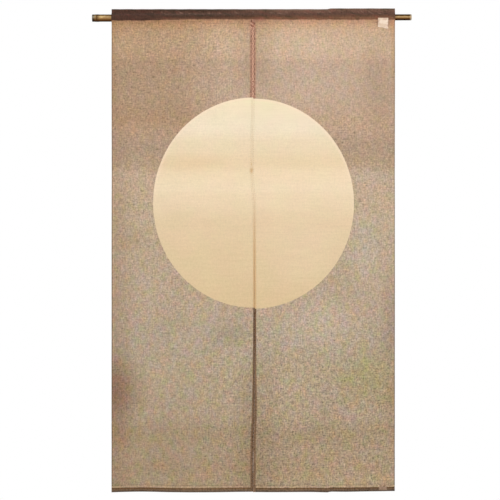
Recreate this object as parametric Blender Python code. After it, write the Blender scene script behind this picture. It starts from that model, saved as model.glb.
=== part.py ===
"""A noren: two panels of coarse hemp cloth, hung side by side on a bamboo rod.

Metres, +Z up, the front faces -Y. The origin is on the rod's axis, at the middle of the cloth's
width. A "drop" is a depth below the origin. Each panel is one length of cloth: its head is turned
over to the back and sewn down as a pocket for the rod, and its foot and side edges are hemmed.
"""

import math

import bmesh
import bpy

# Driving dimensions
CLOTH_WIDTH = 0.880
CLOTH_HEIGHT = 1.500
HEADER_TOP = 0.0265
SHEET = 0.0012
TOUCH = 0.0005
PANEL_WIDTH = CLOTH_WIDTH / 2
FOOT_DROP = CLOTH_HEIGHT - HEADER_TOP

# Both the upper fold and the foot climb a little over this stretch of the right panel
END_RISE = 0.0024
END_RISE_FROM = 0.229
END_RISE_TO = 0.241

# The rod is a tapered bamboo cane that shows past both sides of the cloth, and leans a little
ROD_LEFT_END = -0.500
ROD_RIGHT_END = 0.491
ROD_LEFT_RADIUS = 0.0111
ROD_RIGHT_RADIUS = 0.0094
ROD_LEAN = 0.0026
ROD_SIDES = 16
ROD_STATION = 0.050
ROD_CHAMFER = 0.0008
NODE_PLACES = (-0.484, -0.301, -0.107, 0.096, 0.299)
NODE_RISE = 0.0006
NODE_REACH = 0.0045
NODE_RINGS = (-2.2, -1.0, 0.0, 1.0, 2.2)

# The pocket wraps the cane, closes just above and below it, and its flap ends below the stitches
POCKET_CLEARANCE = NODE_RISE + 0.0004
POCKET_CLOSE = 0.0030
POCKET_ARC_STEPS = 6
FLAP = 0.006

# The single sheet starts at FIELD_TOP, and takes up its waves between these two drops
FIELD_TOP = 0.030
WAVE_FROM = 0.015
WAVE_FULL = 0.115

# Hems: widths across the cloth, and how far each stands out behind and before the single sheet
FOOT_HEM = 0.0135
SLIT_HEM = 0.0055
OUTER_HEM = 0.0035
HEM_SLOPE = 0.0012
HEM_BEHIND = 0.0013
HEM_BEFORE = 0.0004

# Mesh steps, and the least share of a step that is left between two rows or stations
COLUMN_STEP = 0.034
ROW_STEP = 0.066
LEAST_SHARE = 0.4

# The line where the panels meet: laced down to SEAM_END, then a slit that is open to the foot
SEAM_END = 0.4735
SLIT_GAP = 0.0003
SLIT_LINE = (
    # drop, drift
    (0.000, -0.0010),
    (0.250, -0.0014),
    (0.440, -0.0036),
    (0.4735, -0.0042),
    (0.600, 0.0034),
    (0.900, 0.0044),
    (1.180, 0.0038),
    (1.240, 0.0028),
    (1.325, -0.0003),
    (1.402, -0.0006),
    (1.4735, -0.0010),
)

# Storage creases right across both panels: a positive depth leads away from the front
CREASE_ROUND = 0.006
CREASES = (
    # drop, depth, reach
    (0.131, -0.0014, 0.045),
    (0.481, 0.0048, 0.075),
    (1.250, -0.0018, 0.045),
    (1.333, 0.0012, 0.030),
    (1.4155, 0.0009, 0.016),
)

# Flutes that grow from nothing at the rod to their full height at the foot
FLUTE_GROWTH = 1.3
FLUTES = (
    # length across the cloth, height at the foot, start as a share of the length
    (0.405, 0.0048, 0.10),
    (0.262, 0.0026, 0.55),
    (0.171, 0.0012, 0.30),
)

# Below the seam the left panel's slit edge swings back and the right one's swings forward
SLIT_PART = 0.0030
SLIT_PART_REACH = 0.140
SLIT_PART_FULL = 1.200

# Small sewn labels on the right panel, left bare. A slant makes the right end of the foot lower
LABEL_THICK = 0.0010
LABEL_ROWS = 9
TOP_LABEL = {"middle": 0.4023, "width": 0.0320, "top": -0.0025, "height": 0.0293, "slant": 0.0064}
HEM_LABEL = {"middle": 0.4024, "width": 0.0244, "top": -1.4573, "height": 0.0102, "slant": 0.0}


# Shared curves


def smooth(t):
    """A soft step from 0 at t = 0 to 1 at t = 1."""
    t = min(1.0, max(0.0, t))
    return t * t * (3.0 - 2.0 * t)


def slit_drift(drop):
    """How far to the right the slit line lies at a drop, softly joined between its rows."""
    drop = min(max(drop, SLIT_LINE[0][0]), SLIT_LINE[-1][0])
    for (low, start), (high, end) in zip(SLIT_LINE, SLIT_LINE[1:]):
        if drop <= high:
            return start + (end - start) * smooth((drop - low) / (high - low))
    return SLIT_LINE[-1][1]


def end_rise(x):
    """How much higher than at the left the cloth's two ends are."""
    return END_RISE * smooth((x - END_RISE_FROM) / (END_RISE_TO - END_RISE_FROM))


def taken_up(x, drop):
    """A drop at the left of the cloth, as it is at X once the foot's rise is shared out above it."""
    return drop * (1.0 - end_rise(x) / FOOT_DROP)


# The cane


def taper_radius(x):
    """The cane's radius between its nodes."""
    along = (x - ROD_LEFT_END) / (ROD_RIGHT_END - ROD_LEFT_END)
    return ROD_LEFT_RADIUS + (ROD_RIGHT_RADIUS - ROD_LEFT_RADIUS) * along


def cane_radius(x):
    """The cane's radius with the low swelling at each node."""
    swelling = sum(math.exp(-(((x - place) / NODE_REACH) ** 2)) for place in NODE_PLACES)
    return taper_radius(x) + NODE_RISE * swelling


def axis_height(x):
    return ROD_LEAN * x


def cane_stations():
    """Places along the cane: close ones over each node, and even steps in between."""
    first = ROD_LEFT_END + ROD_CHAMFER
    last = ROD_RIGHT_END - ROD_CHAMFER
    places = [node + NODE_REACH * share for node in NODE_PLACES for share in NODE_RINGS]
    clear = NODE_REACH * NODE_RINGS[-1] + ROD_STATION * LEAST_SHARE
    count = round((last - first) / ROD_STATION)
    for step in range(1, count):
        place = first + (last - first) * step / count
        if all(abs(place - node) > clear for node in NODE_PLACES):
            places.append(place)
    return [first, *sorted(places), last]


def cane_ring(mesh, x, radius):
    """A ring of vertices round the cane's axis, with one flat of the polygon facing down."""
    turn = 2.0 * math.pi / ROD_SIDES
    angles = [(side + 0.5) * turn for side in range(ROD_SIDES)]
    height = axis_height(x)
    return [
        mesh.verts.new((x, radius * math.sin(angle), height - radius * math.cos(angle)))
        for angle in angles
    ]


def join_rings(mesh, first, second):
    """Quads between two closed rings of as many vertices."""
    for near, far in zip(range(len(first)), [*range(1, len(first)), 0]):
        mesh.faces.new((first[near], first[far], second[far], second[near]))


def make_rod(material):
    """The cane, lofted from end to end over its stations and closed at its chamfered ends."""
    mesh = bmesh.new()
    rings = [cane_ring(mesh, x, cane_radius(x)) for x in cane_stations()]
    left, right = (
        cane_ring(mesh, x, cane_radius(x) - ROD_CHAMFER) for x in (ROD_LEFT_END, ROD_RIGHT_END)
    )
    rings = [left, *rings, right]
    for first, second in zip(rings, rings[1:]):
        join_rings(mesh, first, second)
    mesh.faces.new(left)
    mesh.faces.new(right)
    finish_mesh("rod", mesh, material)


# How the single sheet hangs


def crease_depth(drop):
    """How far the storage creases lead the cloth back, at a drop."""
    total = 0.0
    for place, depth, reach in CREASES:
        away = math.hypot(drop - place, CREASE_ROUND) - CREASE_ROUND
        total += depth * math.exp(-away / reach)
    return total


def flute_depth(x, drop):
    """How far the flutes lead the cloth back, growing down from the rod."""
    growth = (drop / FOOT_DROP) ** FLUTE_GROWTH
    waves = [
        height * math.sin(2.0 * math.pi * (x / length + start)) for length, height, start in FLUTES
    ]
    return growth * sum(waves)


def back_of_sheet(x, drop, side):
    """Y of the back of the single sheet, which leaves the pocket plumb."""
    eased = smooth((drop - WAVE_FROM) / (WAVE_FULL - WAVE_FROM))
    parting = smooth((drop - SEAM_END) / (SLIT_PART_FULL - SEAM_END))
    near_slit = math.exp(-((x / SLIT_PART_REACH) ** 2))
    wave = crease_depth(drop) + flute_depth(x, drop)
    return eased * wave - side * SLIT_PART * parting * near_slit


def hem_share(across, drop):
    """How much of a hem's full thickness the cloth has at a place, from 0 to 1."""
    insides = (
        PANEL_WIDTH - SLIT_HEM - across,
        across - OUTER_HEM,
        FOOT_DROP - FOOT_HEM - drop,
    )
    return smooth(1.0 - min(insides) / HEM_SLOPE)


def column_x(across, drop, side):
    """X at a distance across a panel from its outer edge. The slit's drift is shared out evenly."""
    outer = side * PANEL_WIDTH
    slit = slit_drift(drop) + side * SLIT_GAP / 2
    return outer + (slit - outer) * across / PANEL_WIDTH


def panel_columns():
    """Distances across a panel from its outer edge to its slit edge."""
    first = OUTER_HEM + HEM_SLOPE
    last = PANEL_WIDTH - SLIT_HEM - HEM_SLOPE
    count = round((last - first) / COLUMN_STEP)
    field = [first + (last - first) * step / count for step in range(count + 1)]
    return [0.0, OUTER_HEM, *field, PANEL_WIDTH - SLIT_HEM, PANEL_WIDTH]


def panel_rows():
    """Drops from the head of the single sheet to its foot, closer over each crease and the hem."""
    hem_top = FOOT_DROP - FOOT_HEM
    places = [FIELD_TOP, hem_top - HEM_SLOPE, hem_top, FOOT_DROP]
    for place, _, reach in CREASES:
        places += [place - reach * 0.5, place, place + reach * 0.5]
    places += [row[0] for row in SLIT_LINE if SEAM_END < row[0] < hem_top - HEM_SLOPE]
    count = round((FOOT_DROP - FIELD_TOP) / ROW_STEP)
    for step in range(1, count):
        place = FIELD_TOP + (FOOT_DROP - FIELD_TOP) * step / count
        if all(abs(place - other) > ROW_STEP * LEAST_SHARE for other in places):
            places.append(place)
    return sorted(places)


# The rod pocket


def pocket_size(x):
    """The pocket's inside radius round the cane, and how far from the axis its walls meet."""
    radius = taper_radius(x) + POCKET_CLEARANCE
    return radius, radius + POCKET_CLOSE


def pocket_wall(radius, close):
    """Points (reach, height) up one wall of the pocket, where it is wrapped round the cane."""
    lean = math.acos(radius / close)
    span = math.pi - 2.0 * lean
    angles = [math.pi - lean - span * step / POCKET_ARC_STEPS for step in range(POCKET_ARC_STEPS + 1)]
    return [(radius * math.sin(angle), radius * math.cos(angle)) for angle in angles]


def sheet_lines(across, side, flap_end):
    """The front and back lines of a section, from the foot up to the pocket's stitches."""
    front, back = [], []
    x_head = column_x(across, 0.0, side)
    stitches = pocket_size(x_head)[1] + SHEET - axis_height(x_head)
    for drop in [*reversed(panel_rows()), flap_end + HEM_SLOPE, flap_end, stitches]:
        x = column_x(across, drop, side)
        y = back_of_sheet(x, drop, side)
        hem = hem_share(across, drop)
        doubled = smooth((flap_end + HEM_SLOPE - drop) / HEM_SLOPE)
        before = SHEET + HEM_BEFORE * hem * (1.0 - doubled)
        behind = max(HEM_BEHIND * hem * (1.0 - doubled), SHEET * doubled)
        z = -taken_up(x, drop) if drop >= FIELD_TOP else -drop
        front.append((x, y - before, z))
        back.append((x, y + behind, z))
    return front, back


def panel_section(across, side):
    """One section of a panel: the lines of points that its outer and inner loops are made of."""
    x = column_x(across, 0.0, side)
    radius, close = pocket_size(x)
    middle = axis_height(x)
    fold = HEADER_TOP + end_rise(x)
    front, back = sheet_lines(across, side, close + SHEET + FLAP - middle)
    outer = pocket_wall(radius + SHEET, close + SHEET)
    inner = pocket_wall(radius, close)
    header = [(SHEET, middle + close + SHEET), (SHEET, fold - SHEET)]
    return {
        "front": front,
        "back": back,
        "front wall": [(x, -reach, middle + height) for reach, height in outer],
        "back wall": [(x, reach, middle + height) for reach, height in outer],
        "front lining": [(x, -reach, middle + height) for reach, height in inner],
        "back lining": [(x, reach, middle + height) for reach, height in inner],
        "front header": [(x, -reach, height) for reach, height in header],
        "back header": [(x, reach, height) for reach, height in header],
        "ridge": [(x, 0.0, fold)],
        "pocket foot": [(x, 0.0, middle - close)],
        "pocket head": [(x, 0.0, middle + close)],
    }


# Panels


def outer_loop(section):
    """The outside of a section: up its front, over the ridge, and down its back."""
    up = section["front"] + section["front wall"] + section["front header"]
    down = section["back"] + section["back wall"] + section["back header"]
    return up + section["ridge"] + down[::-1]


def inner_loop(section):
    """The inside of the pocket: up its front and down its back."""
    up = section["pocket foot"] + section["front lining"] + section["pocket head"]
    return up + section["back lining"][::-1]


def cap_ladder(mesh, first, second):
    """Quads between two lines of as many vertices."""
    for low in range(len(first) - 1):
        mesh.faces.new((first[low], first[low + 1], second[low + 1], second[low]))


def cap_section(mesh, section):
    """Closes a panel's side: the sheet, the two walls of the pocket, and the header above it."""
    foot, head, ridge = section["pocket foot"], section["pocket head"], section["ridge"]
    cap_ladder(mesh, section["front"], section["back"])
    mesh.faces.new((section["front"][-1], foot[0], section["back"][-1]))
    for face in ("front", "back"):
        outside = [section[face][-1], *section[face + " wall"], section[face + " header"][0]]
        inside = foot + section[face + " lining"] + head
        cap_ladder(mesh, outside, inside)
    mesh.faces.new((section["front header"][0], head[0], section["back header"][0]))
    cap_ladder(mesh, section["front header"], section["back header"])
    mesh.faces.new((section["front header"][-1], ridge[0], section["back header"][-1]))


def make_panel(name, side, material):
    """One panel, lofted over its columns. Side is -1 for the left panel and 1 for the right one."""
    mesh = bmesh.new()
    sections = []
    for across in panel_columns():
        lines = panel_section(across, side)
        sections.append({key: [mesh.verts.new(point) for point in line] for key, line in lines.items()})
    for loop in (outer_loop, inner_loop):
        rings = [loop(section) for section in sections]
        for first, second in zip(rings, rings[1:]):
            join_rings(mesh, first, second)
    cap_section(mesh, sections[0])
    cap_section(mesh, sections[-1])
    finish_mesh(name, mesh, material)


# Labels


def line_depth(line, height):
    """Y of a front line at a height, straight between its points."""
    for low, high in zip(line, line[1:]):
        if height <= high[2]:
            return low[1] + (high[1] - low[1]) * (height - low[2]) / (high[2] - low[2])
    return line[-1][1]


def front_lines():
    """The right panel's front lines, each with its X, from the slit to the outer edge."""
    lines = []
    for across in reversed(panel_columns()):
        section = panel_section(across, 1)
        lines.append(section["front"] + section["front wall"] + section["front header"])
    return [(line[-1][0], line) for line in lines]


def cloth_front(lines, x, height):
    """Y of the right panel's front at a place, straight between its front lines."""
    for (near_x, near), (far_x, far) in zip(lines, lines[1:]):
        if x <= far_x:
            share = (x - near_x) / (far_x - near_x)
            return line_depth(near, height) * (1.0 - share) + line_depth(far, height) * share
    return line_depth(lines[-1][1], height)


def is_behind(point, below, above):
    """True where a point (height, y) lies behind the straight line between its two neighbours."""
    share = (point[0] - below[0]) / (above[0] - below[0])
    return point[1] >= below[1] + (above[1] - below[1]) * share


def taut(points):
    """The points (height, y) pulled forward to the straight lines between those that stand out."""
    held = []
    for point in points:
        while len(held) > 1 and is_behind(held[-1], held[-2], point):
            held.pop()
        held.append(point)
    line = [(0.0, y, height) for height, y in held]
    return [(height, line_depth(line, height)) for height, _ in points]


def label_heights(label, x):
    """Heights from a label's slanting foot to its top, at X."""
    slant = label["slant"] * (x - label["middle"]) / label["width"]
    height = label["height"] + slant
    return [label["top"] - height * (1.0 - row / (LABEL_ROWS - 1)) for row in range(LABEL_ROWS)]


def make_label(name, label, material):
    """A small label, held TOUCH before the cloth where that stands out, and spanning its hollows."""
    mesh = bmesh.new()
    lines = front_lines()
    left = label["middle"] - label["width"] / 2
    right = left + label["width"]
    columns = [left, *(x for x, _ in lines if left < x < right), right]
    sections = []
    for x in columns:
        heights = label_heights(label, x)
        back = taut([(height, cloth_front(lines, x, height) - TOUCH) for height in heights])
        far = [mesh.verts.new((x, y, height)) for height, y in back]
        near = [mesh.verts.new((x, y - LABEL_THICK, height)) for height, y in back]
        sections.append((near, far))
    for (near, far), (next_near, next_far) in zip(sections, sections[1:]):
        join_rings(mesh, near + far[::-1], next_near + next_far[::-1])
    cap_ladder(mesh, *sections[0])
    cap_ladder(mesh, *sections[-1])
    finish_mesh(name, mesh, material)


# Objects and materials


def finish_mesh(name, mesh, material, sharp_angle=45.0):
    """Turns the faces out, and puts the mesh in the scene as one named object."""
    bmesh.ops.recalc_face_normals(mesh, faces=mesh.faces)
    data = bpy.data.meshes.new(name)
    mesh.to_mesh(data)
    mesh.free()
    data.materials.append(material)
    data.shade_smooth()
    data.set_sharp_from_angle(angle=math.radians(sharp_angle))
    made = bpy.data.objects.new(name, data)
    bpy.context.scene.collection.objects.link(made)


def make_material(name, colour, roughness, metallic=0.0):
    material = bpy.data.materials.new(name)
    material.use_nodes = True
    shader = material.node_tree.nodes["Principled BSDF"]
    shader.inputs["Base Color"].default_value = (*colour, 1.0)
    shader.inputs["Roughness"].default_value = roughness
    shader.inputs["Metallic"].default_value = metallic
    return material


def clear_scene():
    for old in list(bpy.data.objects):
        bpy.data.objects.remove(old, do_unlink=True)


def main():
    clear_scene()
    hemp = make_material("hemp_cloth", (0.44, 0.33, 0.23), 0.95)
    bamboo = make_material("smoked_bamboo", (0.42, 0.26, 0.09), 0.35)
    label_cloth = make_material("label_cloth", (0.78, 0.68, 0.58), 0.9)
    make_rod(bamboo)
    make_panel("panel_left", -1, hemp)
    make_panel("panel_right", 1, hemp)
    make_label("label_top", TOP_LABEL, label_cloth)
    make_label("label_hem", HEM_LABEL, label_cloth)


main()
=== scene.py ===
"""The looks of the noren curtain: hemp cloth panels, seam, stitches, labels and bamboo cane.

The values whose heading says so, and the curves made from them, are those of the CAD source, so the
fine cloth lies where the solids are. Metres, +Z up, the front faces -Y. A "drop" is a depth below
the origin, which is on the rod's axis at the middle of the cloth's width.
"""

import math

import bmesh
import bpy
import numpy as np
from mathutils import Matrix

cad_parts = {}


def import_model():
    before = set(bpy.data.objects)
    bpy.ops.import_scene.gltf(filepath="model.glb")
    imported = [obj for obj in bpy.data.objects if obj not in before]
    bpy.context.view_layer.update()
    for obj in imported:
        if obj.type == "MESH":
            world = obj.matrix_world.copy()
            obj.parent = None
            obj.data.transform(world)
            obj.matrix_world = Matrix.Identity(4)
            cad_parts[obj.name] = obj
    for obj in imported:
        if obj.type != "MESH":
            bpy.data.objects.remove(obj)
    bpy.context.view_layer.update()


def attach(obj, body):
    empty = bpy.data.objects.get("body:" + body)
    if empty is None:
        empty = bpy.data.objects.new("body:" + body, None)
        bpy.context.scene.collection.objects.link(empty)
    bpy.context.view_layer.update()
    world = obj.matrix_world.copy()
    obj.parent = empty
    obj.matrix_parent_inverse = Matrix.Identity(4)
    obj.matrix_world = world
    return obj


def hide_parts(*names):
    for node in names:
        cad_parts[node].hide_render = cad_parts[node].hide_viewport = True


# The cloth, as in the CAD source
CLOTH_WIDTH = 0.880
CLOTH_HEIGHT = 1.500
HEADER_TOP = 0.0265
SHEET = 0.0012
PANEL_WIDTH = CLOTH_WIDTH / 2
FOOT_DROP = CLOTH_HEIGHT - HEADER_TOP
END_RISE = 0.0024
END_RISE_FROM = 0.229
END_RISE_TO = 0.241

# The cane, as in the CAD source
ROD_LEFT_END = -0.500
ROD_RIGHT_END = 0.491
ROD_LEFT_RADIUS = 0.0111
ROD_RIGHT_RADIUS = 0.0094
ROD_LEAN = 0.0026
ROD_CHAMFER = 0.0008
NODE_PLACES = (-0.484, -0.301, -0.107, 0.096, 0.299)
NODE_RISE = 0.0006
NODE_REACH = 0.0045

# The pocket, the hems and the slit, as in the CAD source
POCKET_CLEARANCE = NODE_RISE + 0.0004
POCKET_CLOSE = 0.0030
FLAP = 0.006
FIELD_TOP = 0.030
WAVE_FROM = 0.015
WAVE_FULL = 0.115
FOOT_HEM = 0.0135
SLIT_HEM = 0.0055
OUTER_HEM = 0.0035
HEM_SLOPE = 0.0012
HEM_BEHIND = 0.0013
HEM_BEFORE = 0.0004
SEAM_END = 0.4735
SLIT_LINE = (
    # drop, drift
    (0.000, -0.0010),
    (0.250, -0.0014),
    (0.440, -0.0036),
    (0.4735, -0.0042),
    (0.600, 0.0034),
    (0.900, 0.0044),
    (1.180, 0.0038),
    (1.240, 0.0028),
    (1.325, -0.0003),
    (1.402, -0.0006),
    (1.4735, -0.0010),
)
SLIT_PART = 0.0030
SLIT_PART_REACH = 0.140
SLIT_PART_FULL = 1.200

# Storage creases and flutes, as in the CAD source
CREASE_ROUND = 0.006
CREASES = (
    # drop, depth, reach
    (0.131, -0.0014, 0.045),
    (0.481, 0.0048, 0.075),
    (1.250, -0.0018, 0.045),
    (1.333, 0.0012, 0.030),
    (1.4155, 0.0009, 0.016),
)
FLUTE_GROWTH = 1.3
FLUTES = (
    # length across the cloth, height at the foot, start as a share of the length
    (0.405, 0.0048, 0.10),
    (0.262, 0.0026, 0.55),
    (0.171, 0.0012, 0.30),
)

# Labels, as in the CAD source
LABEL_THICK = 0.0010
TOP_LABEL = {"middle": 0.4023, "width": 0.0320, "top": -0.0025, "height": 0.0293, "slant": 0.0064}
HEM_LABEL = {"middle": 0.4024, "width": 0.0244, "top": -1.4573, "height": 0.0102, "slant": 0.0}

# The gap between the slit edges of the fine cloth, narrower than between the solids
SLIT_GAP = 0.00004

# Fine relief that only the visible cloth and cane have
RIPPLES = (
    # length across, length down, height, start as a share of the length
    (0.149, 0.310, 0.00045, 0.15),
    (0.083, -0.420, 0.00030, 0.60),
    (0.061, 0.190, 0.00018, 0.35),
    (-0.230, 0.117, 0.00030, 0.80),
    (0.340, 0.071, 0.00016, 0.05),
)
HEAD_PUCKER = {"length": 0.0230, "height": 0.00060, "reach": 0.030, "swell": 0.171, "start": 0.2}
SEAM_PUCKER = {"length": 0.0340, "height": 0.00055, "reach": 0.014, "swell": 0.213, "start": 0.4}
SIDE_PUCKER = {"length": 0.0260, "height": 0.00030, "reach": 0.008, "swell": 0.31, "start": 0.1}
FOOT_PUCKER = {"length": 0.0150, "height": 0.00030, "reach": 0.009}
HEAD_ROW = 0.028
SEAM_RELEASE = 0.02
PUCKER_FULL = 0.015
POCKET_RIDGE = {"length": 0.0290, "height": 0.00090, "lean": 1.3}
HEADER_SWAY = {"length": 0.0470, "height": 0.00070}
EDGE_ROUND = 0.0009
NODE_SCAR = 0.0016
NODE_RINGS = (
    # how far to the left of a node, rise, reach
    (NODE_SCAR, -0.00050, 0.0008),
    (2.0 * NODE_SCAR, 0.00022, 0.0007),
)
CANE_WALL = 0.0026
CANE_BORE = {"left": 0.0135, "right": 0.0330}
LABEL_CLEAR = 0.0002
LABEL_LIFT = 0.00025
LABEL_RIM = 0.06

# Mesh steps of the fine cloth, cane and labels
EDGE_STEPS = (0.0, 0.00025, 0.0006, 0.0012)
FIELD_STEP = 0.0052
SLOPE_STEPS = 3
WALL_STEPS = 18
HEADER_STEPS = 6
RIDGE_STEPS = 6
CANE_SIDES = 64
CANE_STEP = 0.004
CANE_FINE_STEP = 0.0005
LABEL_STEPS = 32

# Sewing
OUTWARD = {"front": -1.0, "back": 1.0}
ROW_START = {"pocket": 0.007, "foot": 0.003, "slit": 0.032, "rim": 0.034}
ROW_PITCH = {"pocket": 0.0056, "foot": 0.0062, "slit": 0.0068, "rim": 0.0074}
ROW_STITCHES = (
    # face, start and end as shares of the pitch
    ("front", 0.0, 0.52),
    ("back", 0.56, 0.96),
)
HEM_THREAD_RADIUS = 0.00034
LABEL_THREAD_RADIUS = 0.00018
LABEL_PITCH = 0.0024
LACING_FROM = 0.0150
LACING_PITCH = 0.0156
LACING_REACH = 0.0036
LACING_RADIUS = 0.00110
FINE_LACING_RADIUS = 0.00040
LACING_TURNS = (1, 15, 29)
LACING_STEPS = 16
LACING_SHARP = 0.96
STITCH_LIFT = 0.00024
STITCH_SINK = 0.00035
FOOT_ROW = 0.0215
TACK_RADIUS = 0.00100
DARK_TACKS = (
    # drop, how far to the right, fall, reach
    (0.0150, -0.0006, 0.0046, 0.0056),
    (0.0252, -0.0026, 0.0044, 0.0052),
    (0.1990, 0.0004, 0.0016, 0.0034),
    (0.2155, -0.0012, 0.0030, 0.0044),
    (0.2282, 0.0006, 0.0004, 0.0040),
    (0.4706, 0.0, 0.0, 0.0034),
    (0.4736, 0.0, 0.0, 0.0034),
)
LIGHT_TACKS = (
    # drop, how far to the right, fall, reach
    (0.0192, -0.0044, 0.0034, 0.0042),
    (0.0290, -0.0056, 0.0028, 0.0032),
)

# The undyed disc that both panels share
MOON_MIDDLE = (0.0006, -0.5743)
MOON_RADII = (0.3120, 0.3262)
MOON_STEP = 0.0032
MOON_BLUR = 0.0004
MOON_RIM = (1.0015, 0.9985)

# The weave, the light through the cloth, and how much the lights brighten a plain front face
THREAD_PITCH = 0.00125
THREAD_WANDER = 1.6
TRANSLUCENT_SHARE = 0.25
LIGHT_GAIN = 1.16

# The widest drift of the slit line that its colour ramp can hold, left to right
DRIFT_SPAN = 0.01

# Colours are sRGB from 0 to 255 and tints are linear factors
CLOTH_AND_CREASE_SHADE_TONES = (
    # drop, colour of the dyed ground at mid-width, with painted shade beside the storage creases at
    # drops 0.131, 0.481 and 1.25
    (0.008, (206, 160, 128)),
    (0.016, (200, 161, 128)),
    (0.024, (201, 166, 133)),
    (0.045, (203, 173, 145)),
    (0.080, (204, 177, 150)),
    (0.125, (203, 174, 149)),
    (0.137, (195, 168, 145)),
    (0.215, (195, 169, 146)),
    (0.235, (195, 169, 146)),
    (0.330, (194, 165, 139)),
    (0.400, (181, 155, 132)),
    (0.455, (185, 160, 133)),
    (0.490, (196, 172, 147)),
    (0.640, (193, 172, 146)),
    (0.900, (190, 169, 146)),
    (1.000, (186, 168, 146)),
    (1.100, (186, 167, 141)),
    (1.230, (183, 162, 138)),
    (1.290, (174, 153, 125)),
    (1.345, (176, 154, 128)),
    (1.400, (175, 151, 123)),
    (1.440, (176, 154, 126)),
)
LEFT_HEAD_TINT = (0.845, 0.80, 0.72)
CLOTH_TONE_AND_SHADE_PATCHES = (
    # x, z, reach across, reach down, tint; uneven tone, painted shade by the outer edges and in the
    # lower left, and painted light on the right of the head
    (-0.440, -1.00, 0.090, 1.10, (0.84, 0.78, 0.75)),
    (-0.440, -1.155, 0.140, 0.155, (0.67, 0.55, 0.52)),
    (-0.400, -1.31, 0.120, 0.060, (0.98, 0.92, 0.88)),
    (-0.370, -0.69, 0.090, 0.060, (0.92, 0.90, 0.88)),
    (-0.075, -0.985, 0.080, 0.060, (0.86, 0.88, 0.85)),
    (0.180, -0.10, 0.260, 0.400, (1.06, 1.09, 1.12)),
    (0.200, -0.94, 0.170, 0.130, (1.09, 1.12, 1.16)),
    (0.440, -0.93, 0.060, 0.220, (0.80, 0.76, 0.78)),
    (0.400, -1.02, 0.080, 0.080, (0.93, 0.92, 0.90)),
    (0.450, -1.18, 0.070, 0.150, (0.84, 0.76, 0.68)),
    (0.360, -1.12, 0.150, 0.140, (0.87, 0.91, 0.75)),
    (0.300, -1.44, 0.320, 0.150, (1.10, 1.12, 1.12)),
    (0.385, -0.215, 0.100, 0.190, (0.86, 0.85, 0.83)),
    (0.350, -0.71, 0.090, 0.160, (1.03, 1.09, 1.18)),
    (0.360, -0.49, 0.090, 0.050, (1.00, 1.04, 1.12)),
)
MOTTLES = (
    # lengths of a blotch, tint where its noise is low, tint where it is high
    ((0.030, 0.030, 0.030), (0.92, 1.03, 0.90), (1.07, 0.96, 1.00)),
    ((0.021, 0.021, 0.038), (1.03, 1.01, 0.87), (0.97, 1.00, 1.12)),
)
MOON_AND_CREASE_SHADE_TONES = (
    # drop, colour, with painted shade above the storage crease at drop 0.481
    (0.245, (245, 231, 199)),
    (0.340, (244, 229, 204)),
    (0.395, (239, 221, 190)),
    (0.450, (238, 216, 182)),
    (0.485, (242, 222, 190)),
    (0.530, (242, 223, 193)),
    (0.560, (239, 219, 187)),
    (0.650, (232, 209, 174)),
    (0.760, (229, 206, 168)),
    (0.900, (226, 201, 161)),
)
MOON_SHADE_AND_TINT_PATCHES = (
    # x, z, reach across, reach down, tint; the first is painted shade above the storage crease at drop
    # 0.481
    (-0.190, -0.455, 0.150, 0.045, (0.96, 0.95, 0.90)),
    (0.160, -0.740, 0.220, 0.180, (1.03, 1.04, 1.09)),
)
FOOT_TONES = (
    # height above the foot as a share of the hem's, colour
    (0.000, (92, 76, 62)),
    (0.300, (108, 90, 72)),
    (0.550, (132, 108, 84)),
    (0.800, (116, 86, 58)),
    (1.000, (124, 94, 66)),
)
POCKET_FOOT = -0.0080
POCKET_TALL = 0.0320
POCKET_SHADE_TONES = (
    # height, colour left of the middle, colour at the right; painted shade where the cane and the
    # pocket's layers hold back the light from behind, lighter and darker by height
    (-0.0050, (110, 76, 57), (131, 91, 67)),
    (-0.0018, (90, 60, 44), (117, 81, 60)),
    (0.0014, (80, 54, 40), (106, 73, 54)),
    (0.0047, (80, 58, 43), (101, 70, 53)),
    (0.0083, (88, 64, 51), (97, 67, 53)),
    (0.0125, (98, 70, 58), (99, 70, 56)),
    (0.0150, (94, 66, 52), (110, 78, 64)),
    (0.0192, (82, 55, 42), (117, 84, 69)),
    (0.0224, (74, 55, 42), (118, 90, 74)),
)
CANE_LIGHT_AND_SHADE_TONES = (
    # height on the cane as a share of its thickness, colour; painted shade along its underside and top,
    # and a painted highlight between
    (0.000, (38, 18, 2)),
    (0.070, (60, 34, 8)),
    (0.210, (102, 69, 34)),
    (0.350, (136, 101, 60)),
    (0.490, (164, 132, 90)),
    (0.630, (178, 150, 108)),
    (0.720, (146, 118, 80)),
    (0.800, (92, 66, 34)),
    (0.910, (66, 44, 16)),
    (1.000, (62, 42, 18)),
)
CANE_LIGHT_AND_SHADE_PATCHES = (
    # x, z, reach across, reach down, tint; a painted highlight, a dark patch by the left node, and
    # painted shade under the left end
    (-0.4730, 0.0012, 0.0130, 0.0080, (1.50, 1.62, 1.60)),
    (-0.4838, -0.0002, 0.0115, 0.0150, (0.46, 0.41, 0.35)),
    (-0.4980, -0.0080, 0.0090, 0.0080, (0.30, 0.24, 0.16)),
)

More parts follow.
